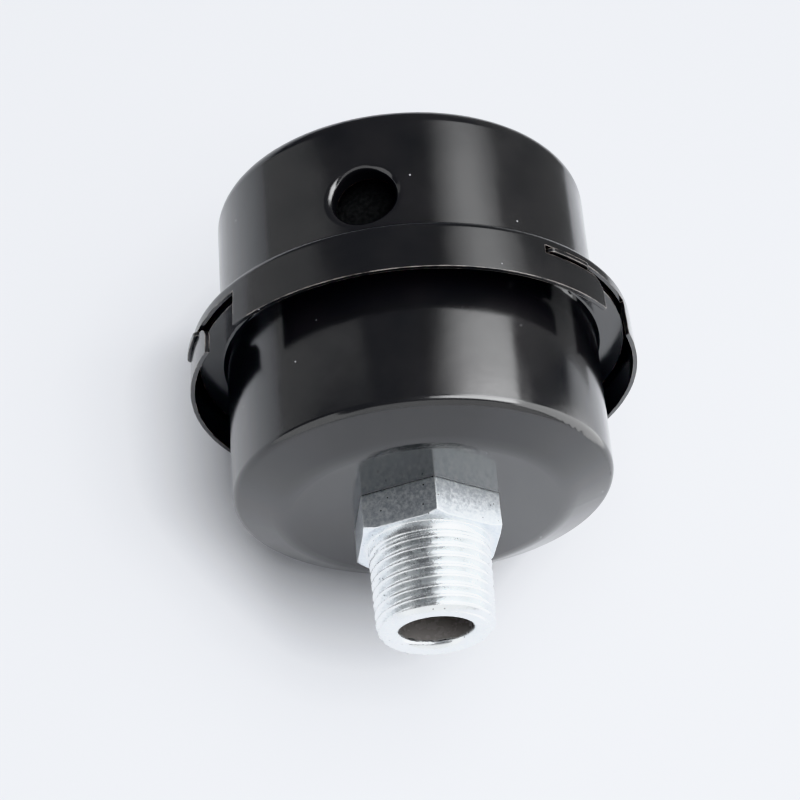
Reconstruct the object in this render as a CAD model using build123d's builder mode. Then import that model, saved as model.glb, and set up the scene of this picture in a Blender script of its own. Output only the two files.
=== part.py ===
from build123d import *
import os
from math import atan, cos, degrees, hypot, radians, sin, tan

# Compressor intake filter silencer: two pressed steel shells closed by a three-lug twist lock,
# a hexagon nipple staked into the base shell, and a foam filter element clamped between the shells.
#
# Frame: the axis of the shells is Y. The nipple's thread points to -Y and the closed end of the
# cover to +Y. The origin is the centre of the hexagon's thread-side face. Angles run from +Z
# towards +X.

# ---- Shells ----
SHEET = 0.8
BASE_R = 33.7
COVER_R = 34.4
COVER_END_Y = 69.75
COVER_EDGE_R = 3.4
COVER_PANEL_R = 23.0
COVER_PANEL_DEPTH = 0.8
COVER_PANEL_EDGE_R = 1.2
COVER_ROOT_R = 0.5
BASE_EDGE_R = 1.6
BASE_CONE_HEIGHT = 3.7
PLATEAU_R = 25.4
PLATEAU_EDGE_R = 7.0

# ---- Flanges and twist lock ----
FLANGE_Y = 41.55
SKIRT_R = 40.1
SKIRT_FLARE = 0.35
SKIRT_DEPTH = 9.5
SKIRT_BEND_R = 1.4
BASE_FLANGE_R = 38.7
LUG_TOP = -2.7
LUG_R = 40.85
LUG_WIDTH = 9.7
LUG_ANGLE = 34.4
LUG_CORNER_R = 1.2
LUG_COUNT = 3

# Outline of one lock opening in the skirt, as angle and height above the flange face
LOCK_CLOSED_END = 26.6
LOCK_HOOK_TOP = 42.3
LOCK_HOOK_NOSE = 47.4
LOCK_ENTRY_END = 61.9
LOCK_SLOT_TOP = -2.15
LOCK_ENTRY_TOP = -2.62
LOCK_HOOK_EDGE = -3.75
LOCK_NOSE_DROP = 2.3
LOCK_NOSE_BULGE = (1.0, 0.7)

# ---- Intake hole in the cover ----
INTAKE_ANGLE = -20.5
INTAKE_Y = 51.85
INTAKE_R = 5.5
INTAKE_COLLAR_R = 6.3
INTAKE_COLLAR_DEPTH = 3.8
INTAKE_ROLL_R = 1.3

# ---- Nipple: R 1/2 taper thread, 24 mm hexagon ----
HEX_ACROSS_FLATS = 24.0
HEX_HEIGHT = 6.7
HEX_TURN = -2.1
HEX_CHAMFER_FACE_R = 12.8
HEX_CHAMFER_ANGLE = 30
NIPPLE_BORE_R = 6.35
NIPPLE_MOUTH_ROUND = 1.45
THREAD_END_Y = -16.45
THREAD_END_R = 10.22
THREAD_END_ROUND = 1.2
THREAD_PITCH = 25.4 / 14
THREAD_DEPTH = 0.6 * THREAD_PITCH
THREAD_FLANK = 27.5
THREAD_ROOT_HALF = 0.15
THREAD_CUT_MARGIN = 0.2
THREAD_RUN_IN = 3
THREAD_TURNS = 8.0
THREAD_FADE_TURNS = 1.7
THREAD_FADE_CONE = 20.0
THREAD_SLOPE = 1 / 32
SPIGOT_R = 8.6
SPIGOT_FIT = 0.05
ROLLED_RIM_R = 10.9
ROLLED_RIM_HEIGHT = 1.1
ROLLED_RIM_ROUND = 0.75
ROLLED_RIM_CHAMFER = 1.0

# ---- Inner pieces ----
WASHER_R = 14.0
WASHER_THICKNESS = 1.5
GASKET_R_IN = 34.9
GASKET_R_OUT = 38.2
GASKET_GAP = 0.05
BASE_SEAL_R_IN = 19.5
BASE_SEAL_R_OUT = 23.0
BASE_SEAL_HEIGHT = 4.55
COVER_SEAL_R_IN = 28.0
COVER_SEAL_R_OUT = 31.0
COVER_SEAL_HEIGHT = 2.0
COVER_SEAL_GAP = 0.1
PLATE_SHEET = 0.8
PLATE_R = 30.0
PLATE_RIM_HEIGHT = 3.2
PLATE_CORE_GAP = 0.1
CORE_R = 15.0
CORE_WALL = 0.7
CORE_HOLE_R = 2.2
CORE_HOLE_ROWS = 8
CORE_HOLES_PER_ROW = 10
FOAM_R_IN = 15.1
FOAM_R_OUT = 27.6

# ---- Heights that follow from the dimensions above ----
BASE_Y = HEX_HEIGHT + BASE_CONE_HEIGHT
SKIRT_EDGE_Y = FLANGE_Y - SKIRT_DEPTH
LUG_BOTTOM_Y = FLANGE_Y + LUG_TOP - SHEET
LUG_TOP_Y = FLANGE_Y + LUG_TOP
BASE_FLOOR_Y = HEX_HEIGHT + SHEET
COVER_CEILING_Y = COVER_END_Y - SHEET
RIM_Y = BASE_FLOOR_Y + WASHER_THICKNESS
PLATE_BASE_Y = BASE_FLOOR_Y + BASE_SEAL_HEIGHT
PLATE_COVER_Y = COVER_CEILING_Y - COVER_SEAL_GAP - COVER_SEAL_HEIGHT
CORE_START_Y = PLATE_BASE_Y + PLATE_SHEET
CORE_END_Y = PLATE_COVER_Y - PLATE_SHEET
PLATE_COLLAR_R = CORE_R - CORE_WALL - PLATE_CORE_GAP - PLATE_SHEET

os.makedirs("parts", exist_ok=True)


def cross_plane(y):
    """Plane across the axis at height y, facing +Y, where polar angles run from +Z towards +X."""
    return Plane(origin=(0, y, 0), x_dir=(0, 0, 1), z_dir=(0, 1, 0))


def radial_plane(angle, y, radius):
    """Plane facing outwards at an angle about the axis, its x along the turn and its y along +Y."""
    outward = (sin(radians(angle)), 0, cos(radians(angle)))
    along = (cos(radians(angle)), 0, -sin(radians(angle)))
    origin = (radius * outward[0], y, radius * outward[2])
    return Plane(origin=origin, x_dir=along, z_dir=outward)


def around(angle):
    """Distance along the skirt, in the plane that touches it at the lug's middle, of an angle."""
    return SKIRT_R * sin(radians(angle - LUG_ANGLE))


def distance_from_axis(edge):
    """Distance of an edge's centre from the Y axis."""
    return hypot(edge.center().X, edge.center().Z)


def save(piece, name):
    """Label a finished piece and write it as one STEP file."""
    piece.part.label = name
    export_step(piece.part, f"parts/{name}.step")


# ---- Base shell: cup with a flat seat for the nipple, a coned floor, a flange and three lugs ----
with BuildPart() as base_shell:
    with BuildSketch(Plane.XY):
        with BuildLine():
            outer_face = FilletPolyline(
                (SPIGOT_R + SPIGOT_FIT, HEX_HEIGHT),
                (PLATEAU_R, HEX_HEIGHT),
                (BASE_R, BASE_Y),
                (BASE_R, LUG_BOTTOM_Y),
                (BASE_FLANGE_R, LUG_BOTTOM_Y),
                radius=[PLATEAU_EDGE_R, BASE_EDGE_R, SHEET],
            )
            offset(outer_face, amount=SHEET, side=Side.LEFT)
        make_face()
    revolve(axis=Axis.Y)
    with BuildSketch(cross_plane(LUG_BOTTOM_Y)):
        with PolarLocations(LUG_R - LUG_WIDTH / 4, LUG_COUNT, start_angle=LUG_ANGLE):
            Rectangle(LUG_WIDTH / 2, LUG_WIDTH)
        Circle(LUG_R, mode=Mode.INTERSECT)
        Circle(BASE_FLANGE_R - SHEET, mode=Mode.SUBTRACT)
    extrude(amount=SHEET)
    upright_edges = base_shell.edges().filter_by(Axis.Y)
    lug_corners = [e for e in upright_edges if distance_from_axis(e) > LUG_R - LUG_CORNER_R]
    fillet(lug_corners, radius=LUG_CORNER_R)
save(base_shell, "base_shell")

# ---- Intake collar: the hole's rim, drawn inwards through the cover's wall ----
with BuildPart() as intake_collar:
    with BuildSketch(radial_plane(INTAKE_ANGLE, INTAKE_Y, COVER_R - INTAKE_COLLAR_DEPTH)):
        Circle(INTAKE_COLLAR_R)
    extrude(amount=INTAKE_COLLAR_DEPTH)
    with BuildSketch(cross_plane(FLANGE_Y)):
        Circle(COVER_R - SHEET / 2)
    extrude(amount=COVER_END_Y - FLANGE_Y, mode=Mode.INTERSECT)

# ---- Cover shell: cup with the intake hole, a flange and a skirt with three lock openings ----
with BuildPart() as cover_shell:
    with BuildSketch(Plane.XY):
        with BuildLine():
            outer_face = FilletPolyline(
                (0, COVER_END_Y - COVER_PANEL_DEPTH),
                (COVER_PANEL_R, COVER_END_Y - COVER_PANEL_DEPTH),
                (COVER_PANEL_R + 2 * COVER_PANEL_DEPTH, COVER_END_Y),
                (COVER_R, COVER_END_Y),
                (COVER_R, FLANGE_Y),
                (SKIRT_R, FLANGE_Y),
                (SKIRT_R + SKIRT_FLARE, SKIRT_EDGE_Y),
                radius=[
                    COVER_PANEL_EDGE_R,
                    COVER_PANEL_EDGE_R,
                    COVER_EDGE_R,
                    COVER_ROOT_R,
                    SKIRT_BEND_R,
                ],
            )
            offset(outer_face, amount=SHEET, side=Side.RIGHT)
        make_face()
    revolve(axis=Axis.Y)
    add(intake_collar.part)
    with BuildSketch(radial_plane(INTAKE_ANGLE, INTAKE_Y, COVER_R / 2)):
        Circle(INTAKE_R)
    extrude(amount=COVER_R, mode=Mode.SUBTRACT)
    intake_edge = cover_shell.edges(Select.LAST).sort_by(distance_from_axis)[-1]
    fillet(intake_edge, radius=INTAKE_ROLL_R)
    bulge_along, bulge_up = LOCK_NOSE_BULGE
    below_skirt = -2 * SKIRT_DEPTH
    for lock in range(LUG_COUNT):
        turn = 360 / LUG_COUNT * lock
        with BuildSketch(radial_plane(turn + LUG_ANGLE, FLANGE_Y, BASE_R)):
            with BuildLine():
                Polyline(
                    (around(LOCK_HOOK_NOSE), LOCK_HOOK_EDGE - LOCK_NOSE_DROP),
                    (around(LOCK_HOOK_NOSE), below_skirt),
                    (around(LOCK_ENTRY_END), below_skirt),
                    (around(LOCK_ENTRY_END), LOCK_ENTRY_TOP),
                    (around(LOCK_HOOK_NOSE), LOCK_ENTRY_TOP),
                    (around(LOCK_CLOSED_END), LOCK_SLOT_TOP),
                    (around(LOCK_CLOSED_END), LOCK_HOOK_EDGE),
                    (around(LOCK_HOOK_TOP), LOCK_HOOK_EDGE),
                )
                ThreePointArc(
                    (around(LOCK_HOOK_TOP), LOCK_HOOK_EDGE),
                    (around(LOCK_HOOK_NOSE) - bulge_along, LOCK_HOOK_EDGE - bulge_up),
                    (around(LOCK_HOOK_NOSE), LOCK_HOOK_EDGE - LOCK_NOSE_DROP),
                )
            make_face()
        extrude(amount=2 * (SKIRT_R - BASE_R), mode=Mode.SUBTRACT)
save(cover_shell, "cover_shell")

# ---- Nipple: bored hexagon with a tapered thread outside and a spigot inside the base shell ----
with BuildPart() as thread_blank:
    with BuildSketch(Plane.XY):
        with BuildLine():
            start_y = THREAD_END_Y - THREAD_RUN_IN * THREAD_PITCH
            start_r = THREAD_END_R - THREAD_RUN_IN * THREAD_PITCH * THREAD_SLOPE
            shoulder_r = THREAD_END_R - THREAD_END_Y * THREAD_SLOPE
            Polyline((0, start_y), (start_r, start_y), (shoulder_r, 0), (0, 0), close=True)
        make_face()
    revolve(axis=Axis.Y)


def thread_groove(start, turns, cone_angle):
    """Groove of a right-hand thread along a conical helix, from a point on its root."""
    helix = Helix(
        pitch=THREAD_PITCH,
        height=THREAD_PITCH * turns,
        radius=hypot(start[0], start[2]),
        cone_angle=cone_angle,
        center=(0, start[1], 0),
        direction=(0, 1, 0),
    )
    reach = THREAD_DEPTH + THREAD_CUT_MARGIN
    half_width = THREAD_ROOT_HALF + reach * tan(radians(THREAD_FLANK))
    outward = Vector((helix @ 0).X, 0, (helix @ 0).Z)
    with BuildPart() as groove:
        with BuildLine() as path:
            add(helix)
        with BuildSketch(Plane(origin=helix @ 0, x_dir=outward, z_dir=helix % 0)):
            with BuildLine():
                Polyline(
                    (0, -THREAD_ROOT_HALF),
                    (0, THREAD_ROOT_HALF),
                    (reach, half_width),
                    (reach, -half_width),
                    close=True,
                )
            make_face()
        sweep(path=path.line, is_frenet=True)
    return groove.part, helix @ 1


root_start_y = THREAD_END_Y - THREAD_PITCH
root_start_r = THREAD_END_R - THREAD_DEPTH - THREAD_PITCH * THREAD_SLOPE
full_groove, groove_end = thread_groove(
    (0, root_start_y, root_start_r), THREAD_TURNS, degrees(atan(THREAD_SLOPE))
)
fading_groove = thread_groove(
    (groove_end.X, groove_end.Y, groove_end.Z), THREAD_FADE_TURNS, THREAD_FADE_CONE
)[0]

with BuildPart() as threaded_nipple:
    add(thread_blank.part)
    add(full_groove, mode=Mode.SUBTRACT)
    add(fading_groove, mode=Mode.SUBTRACT)
    with BuildSketch(Plane.XY):
        with BuildLine():
            chamfer_r = THREAD_END_R - THREAD_DEPTH
            FilletPolyline(
                (0, 0),
                (0, THREAD_END_Y),
                (chamfer_r, THREAD_END_Y),
                (shoulder_r, THREAD_END_Y + shoulder_r - chamfer_r),
                (shoulder_r, 0),
                radius=[0, THREAD_END_ROUND, THREAD_END_ROUND],
            )
            Line((shoulder_r, 0), (0, 0))
        make_face()
    revolve(axis=Axis.Y, mode=Mode.INTERSECT)

with BuildPart() as hexagon:
    with BuildSketch(cross_plane(0)):
        RegularPolygon(HEX_ACROSS_FLATS / 2, side_count=6, major_radius=False, rotation=HEX_TURN)
    extrude(amount=HEX_HEIGHT)
    with BuildSketch(Plane.XY):
        with BuildLine():
            chamfer_width = HEX_ACROSS_FLATS - HEX_CHAMFER_FACE_R
            chamfer_height = chamfer_width * tan(radians(HEX_CHAMFER_ANGLE))
            Polyline(
                (0, 0),
                (HEX_CHAMFER_FACE_R, 0),
                (HEX_ACROSS_FLATS, chamfer_height),
                (HEX_ACROSS_FLATS, HEX_HEIGHT),
                (0, HEX_HEIGHT),
                close=True,
            )
        make_face()
    revolve(axis=Axis.Y, mode=Mode.INTERSECT)

with threaded_nipple:
    add(hexagon.part)
    with BuildSketch(cross_plane(HEX_HEIGHT)):
        Circle(SPIGOT_R)
    extrude(amount=RIM_Y - HEX_HEIGHT)
    with BuildSketch(cross_plane(RIM_Y)):
        Circle(ROLLED_RIM_R)
    extrude(amount=ROLLED_RIM_HEIGHT)
    rim_edges = threaded_nipple.edges(Select.LAST).filter_by(GeomType.CIRCLE).sort_by(Axis.Y)
    fillet(rim_edges[-1], radius=ROLLED_RIM_ROUND)
    with BuildSketch(cross_plane(THREAD_END_Y)):
        Circle(NIPPLE_BORE_R)
    extrude(amount=RIM_Y + ROLLED_RIM_HEIGHT - THREAD_END_Y, mode=Mode.SUBTRACT)
    bore_edges = threaded_nipple.edges(Select.LAST).filter_by(GeomType.CIRCLE).sort_by(Axis.Y)
    fillet(bore_edges[0], radius=NIPPLE_MOUTH_ROUND)
    chamfer(bore_edges[-1], length=ROLLED_RIM_CHAMFER)
save(threaded_nipple, "threaded_nipple")

# ---- Backing washer: spreads the staked rim's load over the base shell's thin floor ----
with BuildPart() as backing_washer:
    with BuildSketch(cross_plane(BASE_FLOOR_Y)):
        Circle(WASHER_R)
        Circle(SPIGOT_R + SPIGOT_FIT, mode=Mode.SUBTRACT)
    extrude(amount=WASHER_THICKNESS)
save(backing_washer, "backing_washer")

# ---- Flange gasket: rubber ring between the two flanges ----
with BuildPart() as flange_gasket:
    with BuildSketch(cross_plane(LUG_TOP_Y)):
        Circle(GASKET_R_OUT)
        Circle(GASKET_R_IN, mode=Mode.SUBTRACT)
    extrude(amount=FLANGE_Y - SHEET - GASKET_GAP - LUG_TOP_Y)
save(flange_gasket, "flange_gasket")

# ---- Filter element: perforated core and foam sleeve between two pressed end plates ----
with BuildPart() as element_core:
    with BuildSketch(cross_plane(CORE_START_Y)):
        Circle(CORE_R)
        Circle(CORE_R - CORE_WALL, mode=Mode.SUBTRACT)
    extrude(amount=CORE_END_Y - CORE_START_Y)
    row_spacing = (CORE_END_Y - CORE_START_Y) / CORE_HOLE_ROWS
    for row in range(CORE_HOLE_ROWS):
        row_y = CORE_START_Y + (row + 0.5) * row_spacing
        stagger = (row % 2) * 180 / CORE_HOLES_PER_ROW
        for hole in range(CORE_HOLES_PER_ROW):
            angle = stagger + hole * 360 / CORE_HOLES_PER_ROW
            with BuildSketch(radial_plane(angle, row_y, CORE_R / 2)):
                Circle(CORE_HOLE_R)
            extrude(amount=CORE_R, mode=Mode.SUBTRACT)
save(element_core, "element_core")

with BuildPart() as element_foam:
    with BuildSketch(cross_plane(CORE_START_Y)):
        Circle(FOAM_R_OUT)
        Circle(FOAM_R_IN, mode=Mode.SUBTRACT)
    extrude(amount=CORE_END_Y - CORE_START_Y)
save(element_foam, "element_foam")

with BuildPart() as element_plate_base:
    with BuildSketch(Plane.XY):
        with BuildLine():
            lower_face = FilletPolyline(
                (PLATE_COLLAR_R, CORE_START_Y + PLATE_RIM_HEIGHT),
                (PLATE_COLLAR_R, PLATE_BASE_Y),
                (PLATE_R, PLATE_BASE_Y),
                (PLATE_R, CORE_START_Y + PLATE_RIM_HEIGHT),
                radius=PLATE_SHEET,
            )
            offset(lower_face, amount=PLATE_SHEET, side=Side.LEFT)
        make_face()
    revolve(axis=Axis.Y)
save(element_plate_base, "element_plate_base")

with BuildPart() as element_plate_cover:
    with BuildSketch(Plane.XY):
        with BuildLine():
            upper_face = FilletPolyline(
                (0, PLATE_COVER_Y),
                (PLATE_R, PLATE_COVER_Y),
                (PLATE_R, CORE_END_Y - PLATE_RIM_HEIGHT),
                radius=PLATE_SHEET,
            )
            offset(upper_face, amount=PLATE_SHEET, side=Side.RIGHT)
        make_face()
    revolve(axis=Axis.Y)
save(element_plate_cover, "element_plate_cover")


# ---- Seal rings: soft rings that the shells squeeze against the element's end plates ----
def seal_ring(y, inner_radius, outer_radius, height):
    """Flat ring standing on height y."""
    with BuildPart() as ring:
        with BuildSketch(cross_plane(y)):
            Circle(outer_radius)
            Circle(inner_radius, mode=Mode.SUBTRACT)
        extrude(amount=height)
    return ring


seal_ring_base = seal_ring(BASE_FLOOR_Y, BASE_SEAL_R_IN, BASE_SEAL_R_OUT, BASE_SEAL_HEIGHT)
save(seal_ring_base, "seal_ring_base")
seal_ring_cover = seal_ring(PLATE_COVER_Y, COVER_SEAL_R_IN, COVER_SEAL_R_OUT, COVER_SEAL_HEIGHT)
save(seal_ring_cover, "seal_ring_cover")
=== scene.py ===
import math

import bpy
from mathutils import Matrix, Vector


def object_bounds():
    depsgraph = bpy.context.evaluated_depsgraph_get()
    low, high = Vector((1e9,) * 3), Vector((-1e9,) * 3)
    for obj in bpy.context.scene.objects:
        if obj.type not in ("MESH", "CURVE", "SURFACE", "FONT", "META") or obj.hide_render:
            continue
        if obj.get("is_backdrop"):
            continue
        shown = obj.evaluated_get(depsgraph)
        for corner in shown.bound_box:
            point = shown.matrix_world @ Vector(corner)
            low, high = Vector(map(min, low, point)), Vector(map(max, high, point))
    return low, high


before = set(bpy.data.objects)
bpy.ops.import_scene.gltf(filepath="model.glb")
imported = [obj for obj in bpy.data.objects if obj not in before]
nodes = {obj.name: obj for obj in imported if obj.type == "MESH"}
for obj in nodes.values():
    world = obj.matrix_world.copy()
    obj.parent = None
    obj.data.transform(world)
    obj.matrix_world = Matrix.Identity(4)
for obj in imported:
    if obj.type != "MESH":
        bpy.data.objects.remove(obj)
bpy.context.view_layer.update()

MM = 0.001

# ---------------------------------------------------------------- camera

CAMERA_AZIMUTH = math.radians(-17.3)
CAMERA_ELEVATION = math.radians(59.44)
CAMERA_ROLL = math.radians(15.0)
CAMERA_DISTANCE = 396.8 * MM
CAMERA_TARGET = Vector((-2.9, 29.35, 0.0)) * MM
CAMERA_LENS = 99.0


def make_camera():
    """The photograph's view: from the thread's side, above, turned a little about the line of sight."""
    data = bpy.data.cameras.new("camera")
    data.lens = CAMERA_LENS
    data.sensor_width = 36.0
    data.clip_start = 0.01
    data.clip_end = 20.0
    camera = bpy.data.objects.new("camera", data)
    bpy.context.scene.collection.objects.link(camera)
    flat = math.cos(CAMERA_ELEVATION)
    back = Vector((
        math.sin(CAMERA_AZIMUTH) * flat,
        -math.cos(CAMERA_AZIMUTH) * flat,
        math.sin(CAMERA_ELEVATION),
    ))
    right = Vector((0, 0, 1)).cross(back).normalized()
    up = back.cross(right)
    turn = Matrix.Rotation(CAMERA_ROLL, 3, back)
    right, up = turn @ right, turn @ up
    place = CAMERA_TARGET + back * CAMERA_DISTANCE
    camera.matrix_world = Matrix((
        (right.x, up.x, back.x, place.x),
        (right.y, up.y, back.y, place.y),
        (right.z, up.z, back.z, place.z),
        (0, 0, 0, 1),
    ))
    bpy.context.scene.camera = camera


# ---------------------------------------------------------------- materials

class Nodes:
    """Short names for building one material's node tree."""

    def __init__(self, name):
        self.material = bpy.data.materials.new(name)
        self.material.use_nodes = True
        self.tree = self.material.node_tree
        self.shader = self.tree.nodes["Principled BSDF"]
        self.place = self.tree.nodes.new("ShaderNodeTexCoord").outputs["Object"]

    def link(self, source, target):
        """Connects an output socket to an input socket."""
        self.tree.links.new(source, target)

    def set(self, name, value):
        """Sets a number on the shader's own socket."""
        self.shader.inputs[name].default_value = value

    def feed(self, name, value):
        """Connects a socket to one of the shader's inputs."""
        self.link(value, self.shader.inputs[name])

    def noise(self, scale, detail=3.0, roughness=0.5, vector=None):
        node = self.tree.nodes.new("ShaderNodeTexNoise")
        node.inputs["Scale"].default_value = scale
        node.inputs["Detail"].default_value = detail
        node.inputs["Roughness"].default_value = roughness
        self.link(vector or self.place, node.inputs["Vector"])
        return node.outputs["Fac"]

    def specks(self, scale, size):
        """1 in small scattered dots, 0 between them."""
        node = self.tree.nodes.new("ShaderNodeTexVoronoi")
        node.inputs["Scale"].default_value = scale
        self.link(self.place, node.inputs["Vector"])
        return self.ramp(node.outputs["Distance"], size, size * 0.6)

    def ramp(self, value, low, high, start=0.0, end=1.0):
        """Maps value from low..high to start..end, held at both ends."""
        node = self.tree.nodes.new("ShaderNodeMapRange")
        node.inputs["From Min"].default_value = low
        node.inputs["From Max"].default_value = high
        node.inputs["To Min"].default_value = start
        node.inputs["To Max"].default_value = end
        self.link(value, node.inputs["Value"])
        return node.outputs["Result"]

    def maths(self, operation, first, second):
        """A sum on two values, each a number or a socket."""
        node = self.tree.nodes.new("ShaderNodeMath")
        node.operation = operation
        for socket, value in zip(node.inputs, (first, second)):
            if isinstance(value, (int, float)):
                socket.default_value = value
            else:
                self.link(value, socket)
        return node.outputs["Value"]

    def vector(self, operation, first, second=None):
        """A sum on vectors, each a tuple or a socket."""
        node = self.tree.nodes.new("ShaderNodeVectorMath")
        node.operation = operation
        for socket, value in zip(node.inputs, (first, second)):
            if isinstance(value, tuple):
                socket.default_value = value
            elif value is not None:
                self.link(value, socket)
        return node.outputs["Value" if operation in ("LENGTH", "DOT_PRODUCT") else "Vector"]

    def mix(self, factor, first, second):
        """Mixes two colours, each a tuple or a socket."""
        node = self.tree.nodes.new("ShaderNodeMix")
        node.data_type = "RGBA"
        self.link(factor, node.inputs["Factor"])
        for socket, value in ((node.inputs["A"], first), (node.inputs["B"], second)):
            if isinstance(value, tuple):
                socket.default_value = (*value, 1.0)
            else:
                self.link(value, socket)
        return node.outputs["Result"]

    def rounded(self, radius):
        """Normal of the surface with its sharp edges rounded off."""
        node = self.tree.nodes.new("ShaderNodeBevel")
        node.samples = 6
        node.inputs["Radius"].default_value = radius
        return node.outputs["Normal"]

    def edges(self, radius):
        """1 along the sharp edges and 0 on open faces."""
        plain = self.tree.nodes.new("ShaderNodeNewGeometry").outputs["Normal"]
        return self.ramp(self.vector("DOT_PRODUCT", self.rounded(radius), plain), 0.99, 0.9)

    def from_axis(self):
        """Distance from the muffler's axis."""
        return self.vector("LENGTH", self.vector("MULTIPLY", self.place, (1, 0, 1)))

    def along_axis(self):
        """Height along the muffler's axis."""
        node = self.tree.nodes.new("ShaderNodeSeparateXYZ")
        self.link(self.place, node.inputs["Vector"])
        return node.outputs["Y"]

    def turned(self, scale):
        """Fine lines round the axis, as a lathe tool leaves them."""
        node = self.tree.nodes.new("ShaderNodeCombineXYZ")
        self.link(self.from_axis(), node.inputs["X"])
        self.link(self.along_axis(), node.inputs["Y"])
        around = self.vector("MULTIPLY", self.place, (0.02, 0, 0.02))
        return self.noise(scale, 2.0, vector=self.vector("ADD", node.outputs["Vector"], around))

    def bump(self, height, distance, normal=None):
        """Bumps the shader's surface by a height of up to distance."""
        node = self.tree.nodes.new("ShaderNodeBump")
        node.inputs["Distance"].default_value = distance
        self.link(height, node.inputs["Height"])
        if normal is not None:
            self.link(normal, node.inputs["Normal"])
        self.feed("Normal", node.outputs["Normal"])


def black_paint():
    """Black stove enamel: glossy, slightly uneven, with dust in it, and brown-tinted, thinly painted edges
    that are lightened further as a painted highlight.
    """
    m = Nodes("black_paint")
    patches = m.ramp(m.noise(90, 4.0), 0.35, 0.65)
    coat = m.mix(patches, (0.015, 0.015, 0.0155), (0.021, 0.0205, 0.021))
    # Along sharp edges, in patches: the brownish tone of thinly painted edges, made much lighter as a
    # painted highlight that stands in for glints on the edges.
    thin_paint_and_glint = m.maths("MULTIPLY", m.edges(0.3 * MM), m.ramp(m.noise(350, 4.0), 0.38, 0.6))
    coat = m.mix(thin_paint_and_glint, coat, (0.30, 0.27, 0.25))
    dust = m.maths("MULTIPLY", m.specks(240, 0.05), m.ramp(m.noise(45), 0.5, 0.55))
    m.feed("Base Color", m.mix(dust, coat, (0.42, 0.42, 0.44)))
    smears = m.ramp(m.noise(70, 5.0, 0.6), 0.35, 0.7, 0.12, 0.2)
    m.feed("Roughness", m.maths("ADD", smears, m.maths("MULTIPLY", thin_paint_and_glint, 0.2)))
    m.set("IOR", 1.75)
    peel = m.maths("ADD", m.noise(300, 2.0), m.maths("MULTIPLY", m.noise(1600, 2.0), 0.12))
    m.bump(peel, 0.012 * MM, m.rounded(0.2 * MM))
    return m.material


# The nipple's finishes change at these places
THREAD_TO_HEX_R = (11.0 * MM, 11.6 * MM)
BORE_WALL_R = (6.75 * MM, 6.6 * MM)
OVERSPRAY_EDGE_Y = (-15.0 * MM, -14.9 * MM)
OVERSPRAY_RAGGED = 0.5 * MM


def zinc():
    """Bright zinc plating: turned on the thread, tumbled on the hexagon, enamel overspray in the bore, with
    painted highlights along its sharp edges.
    """
    m = Nodes("zinc_plate")
    flats = m.ramp(m.from_axis(), *THREAD_TO_HEX_R)
    thread = m.maths("SUBTRACT", 1.0, flats)
    cloud = m.ramp(m.noise(240, 5.0, 0.6), 0.35, 0.68)
    grain = m.ramp(m.noise(1500, 5.0, 0.75), 0.4, 0.62)
    turned_plate = m.mix(cloud, (0.74, 0.76, 0.77), (0.88, 0.90, 0.91))
    tumbled_plate = m.mix(grain, (0.62, 0.66, 0.70), (0.84, 0.87, 0.89))
    plate = m.mix(flats, turned_plate, tumbled_plate)
    # Lighter base colour along sharp edges: a painted highlight standing in for edges that catch the light.
    plate = m.mix(m.edges(0.3 * MM), plate, (0.95, 0.96, 0.97))
    plate = m.mix(m.specks(520, 0.09), plate, (0.16, 0.17, 0.17))

    ragged = m.ramp(m.noise(420, 5.0, 0.7), 0.2, 0.8, -OVERSPRAY_RAGGED, OVERSPRAY_RAGGED)
    depth = m.maths("ADD", m.along_axis(), ragged)
    in_bore = m.ramp(m.from_axis(), *BORE_WALL_R)
    overspray = m.maths("MULTIPLY", in_bore, m.ramp(depth, *OVERSPRAY_EDGE_Y))
    m.feed("Base Color", m.mix(overspray, plate, (0.20, 0.19, 0.183)))
    m.feed("Metallic", m.maths("SUBTRACT", 1.0, overspray))

    turned_polish = m.ramp(m.noise(620, 4.0), 0.35, 0.65, 0.2, 0.32)
    tumbled_polish = m.ramp(grain, 0.0, 1.0, 0.3, 0.42)
    on_thread = m.maths("MULTIPLY", thread, turned_polish)
    on_flats = m.maths("MULTIPLY", flats, tumbled_polish)
    m.feed("Roughness", m.maths("ADD", on_thread, on_flats))
    fine = m.maths("ADD", m.noise(2600, 3.0), m.maths("MULTIPLY", m.turned(5200), 0.9))
    m.bump(fine, 0.016 * MM, m.rounded(0.35 * MM))
    return m.material


def galvanised():
    """Galvanised sheet with a faint spangle."""
    m = Nodes("galvanised_sheet")
    spangle = m.ramp(m.noise(160, 2.0), 0.4, 0.6)
    m.feed("Base Color", m.mix(spangle, (0.46, 0.48, 0.50), (0.60, 0.62, 0.64)))
    m.set("Metallic", 1.0)
    m.feed("Roughness", m.ramp(m.noise(300, 3.0), 0.3, 0.7, 0.35, 0.5))
    m.bump(m.noise(900), 0.01 * MM)
    return m.material


def rubber():
    """Matt black rubber."""
    m = Nodes("rubber")
    m.feed("Base Color", m.mix(m.noise(400), (0.010, 0.010, 0.010), (0.018, 0.018, 0.018)))
    m.feed("Roughness", m.ramp(m.noise(700), 0.3, 0.7, 0.6, 0.75))
    m.bump(m.noise(2500), 0.02 * MM)
    return m.material


def foam():
    """Open-cell charcoal foam."""
    m = Nodes("filter_foam")
    cells = m.noise(1400, 2.0)
    shade = m.ramp(cells, 0.4, 0.6)
    m.feed("Base Color", m.mix(shade, (0.013, 0.013, 0.013), (0.021, 0.021, 0.021)))
    m.feed("Roughness", m.ramp(cells, 0.3, 0.7, 0.9, 1.0))
    m.set("Specular IOR Level", 0.1)
    m.bump(cells, 0.3 * MM)
    return m.material


def dress(material, *names):
    """Gives CAD pieces a material in place of the one they came with."""
    for name in names:
        slots = nodes[name].data.materials
        slots.clear()
        slots.append(material)


# ---------------------------------------------------------------- stage and light

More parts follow.
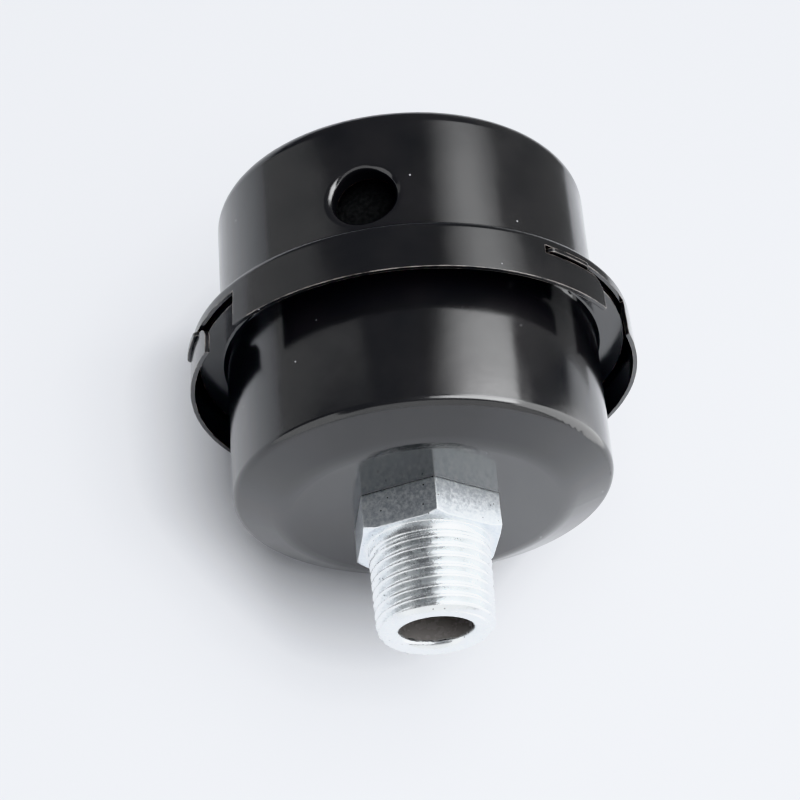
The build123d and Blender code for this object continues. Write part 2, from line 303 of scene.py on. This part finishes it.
# Radiance of each light. The panels beside the nipple are the brighter ones.
WALL_LIGHT = 0.66
FRONT_LIGHT = 1.15
SIDE_LIGHT = 0.36
NIPPLE_WALL_LIGHT = 1.35
NIPPLE_SIDE_LIGHT = 2.9
ROOM_LIGHT = 0.22
OVERHEAD_LIGHT = 5.8
LIGHT_COLOUR = (0.98, 0.99, 1.0)
ROOM_COLOUR = (0.93, 0.95, 1.0)

# Places of the lights, in metres
FLOOR_SIZE = 6.0
LEFT_WALL_X = -0.35
LEFT_WALL_TOP = 0.53
RIGHT_CARD_X = 0.13
FRONT_WALL_Y = -0.7
FRONT_WALL_HALF_WIDTH = 0.8
FRONT_WALL_TOP = 1.0
OVERHEAD_X = (-0.22, 0.5)
OVERHEAD_Y = (-0.45, 0.25)
OVERHEAD_Z = 0.6

# The softbox is a plane that faces the axis from above on the right
KEY_ANGLE = math.radians(31.0)
KEY_DISTANCE = 0.5
KEY_OUTWARD = Vector((math.sin(KEY_ANGLE), 0, math.cos(KEY_ANGLE)))
KEY_SIDEWAYS = Vector((math.cos(KEY_ANGLE), 0, -math.sin(KEY_ANGLE)))


def floor_material():
    """Plain pale paper."""
    m = Nodes("floor")
    m.feed("Base Color", m.mix(m.noise(3.0), (0.79, 0.80, 0.83), (0.80, 0.81, 0.84)))
    m.set("Roughness", 0.7)
    return m.material


def make_floor():
    """A level floor under the muffler's lowest point."""
    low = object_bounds()[0]
    bpy.ops.mesh.primitive_plane_add(size=FLOOR_SIZE, location=(0, 0, low.z))
    floor = bpy.context.object
    floor.name = "floor"
    floor.data.materials.append(floor_material())
    floor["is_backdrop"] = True


def glow_nodes(name):
    """A material that only glows: its nodes, and the socket that takes its radiance."""
    m = Nodes(name)
    m.tree.nodes.remove(m.shader)
    emission = m.tree.nodes.new("ShaderNodeEmission")
    emission.inputs["Color"].default_value = (*LIGHT_COLOUR, 1.0)
    m.link(emission.outputs["Emission"], m.tree.nodes["Material Output"].inputs["Surface"])
    return m, emission.inputs["Strength"]


def even_glow(name, radiance):
    m, strength = glow_nodes(name)
    strength.default_value = radiance
    return m.material


def graded_glow(name, fade, radiance):
    """Glow across the softbox: fade times radiance, each as (start, end, value at start, value at end)."""
    m, strength = glow_nodes(name)
    across = m.vector("DOT_PRODUCT", m.place, tuple(KEY_SIDEWAYS))
    m.link(m.maths("MULTIPLY", m.ramp(across, *fade), m.ramp(across, *radiance)), strength)
    return m.material


def light_panel(name, corners, material):
    """A flat light of any outline, seen in reflections but not by the camera."""
    mesh = bpy.data.meshes.new(name)
    mesh.from_pydata(corners, [], [range(len(corners))])
    panel = bpy.data.objects.new(name, mesh)
    bpy.context.scene.collection.objects.link(panel)
    mesh.materials.append(material)
    panel.visible_camera = False
    panel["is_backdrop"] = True
    return panel


def reflect_only(panel):
    """Lets a panel show in reflections without lighting the floor or casting a shadow on it."""
    panel.visible_diffuse = False
    panel.visible_shadow = False


def upright_panel(name, x, y_range, z_range, radiance):
    """A rectangular reflector across X that shows in reflections only."""
    y0, y1 = y_range
    z0, z1 = z_range
    corners = [(x, y0, z0), (x, y1, z0), (x, y1, z1), (x, y0, z1)]
    reflect_only(light_panel(name, corners, even_glow(name, radiance)))


def key_point(across, y):
    """A point on the softbox's plane."""
    return KEY_OUTWARD * KEY_DISTANCE + KEY_SIDEWAYS * across + Vector((0, y, 0))


def softbox_band(piece, across, along, fade, radiance):
    """The stretch of the softbox that one piece of the muffler reflects."""
    left, right = across
    low, high = along
    outline = ((left, low), (right, low), (right, high), (left, high))
    name = f"softbox_{piece}"
    corners = [key_point(*corner) for corner in outline]
    reflect_only(light_panel(name, corners, graded_glow(name, fade, radiance)))


def make_softbox():
    """The bright strip down the muffler, hardest on the nipple and softest on the cover."""
    softbox_band("corner", (-0.34, 0.22), (-0.12, 0.12), (-0.34, -0.2, 0.2, 1.0), (-0.1, 0.19, 7.0, 9.0))
    softbox_band("nipple", (-0.2, 0.2), (0.12, 0.27), (-0.2, -0.1, 0.2, 1.0), (-0.1, 0.19, 6.0, 7.5))
    softbox_band("base", (-0.36, 0.26), (0.27, 0.328), (-0.34, -0.09, 0.1, 1.0), (-0.1, 0.19, 2.6, 3.8))
    softbox_band("cover", (-0.36, 0.34), (0.328, 0.43), (-0.21, -0.03, 0.08, 1.0), (0.04, 0.22, 2.15, 0.45))


def make_room():
    """Dim, even light from all round."""
    world = bpy.data.worlds.new("world")
    bpy.context.scene.world = world
    world.use_nodes = True
    background = world.node_tree.nodes["Background"]
    background.inputs["Color"].default_value = (*ROOM_COLOUR, 1.0)
    background.inputs["Strength"].default_value = ROOM_LIGHT


def make_overhead():
    """The broad light that brightens the floor and casts the soft shadow, out of sight in reflections."""
    (x0, x1), (y0, y1), z = OVERHEAD_X, OVERHEAD_Y, OVERHEAD_Z
    corners = [(x0, y0, z), (x1, y0, z), (x1, y1, z), (x0, y1, z)]
    panel = light_panel("overhead", corners, even_glow("overhead", OVERHEAD_LIGHT))
    panel.visible_glossy = False


def make_walls():
    """White reflectors round the muffler, which its paint and plating mirror."""
    floor_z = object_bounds()[0].z
    x = LEFT_WALL_X
    corners = [(x, 0.14, floor_z), (x, 0.34, floor_z), (x, 0.34, LEFT_WALL_TOP)]
    light_panel("left_wall", corners, even_glow("left_wall", WALL_LIGHT))
    upright_panel("left_wall_low", LEFT_WALL_X, (-0.6, 0.06), (floor_z, 0.26), NIPPLE_WALL_LIGHT)
    upright_panel("right_card", RIGHT_CARD_X, (0.085, 0.6), (floor_z, 0.12), SIDE_LIGHT)
    upright_panel("right_card_low", RIGHT_CARD_X, (-0.08, 0.07), (floor_z, 0.14), NIPPLE_SIDE_LIGHT)
    half, y, top = FRONT_WALL_HALF_WIDTH, FRONT_WALL_Y, FRONT_WALL_TOP
    corners = [(-half, y, floor_z), (half, y, floor_z), (half, y, top), (-half, y, top)]
    reflect_only(light_panel("front_wall", corners, even_glow("front_wall", FRONT_LIGHT)))


make_camera()
dress(black_paint(), "cover_shell", "base_shell")
dress(zinc(), "threaded_nipple", "backing_washer")
dress(galvanised(), "element_core", "element_plate_base", "element_plate_cover")
dress(rubber(), "flange_gasket", "seal_ring_base", "seal_ring_cover")
dress(foam(), "element_foam")
make_floor()
make_room()
make_softbox()
make_overhead()
make_walls()
bpy.context.scene.view_settings.view_transform = "Khronos PBR Neutral"
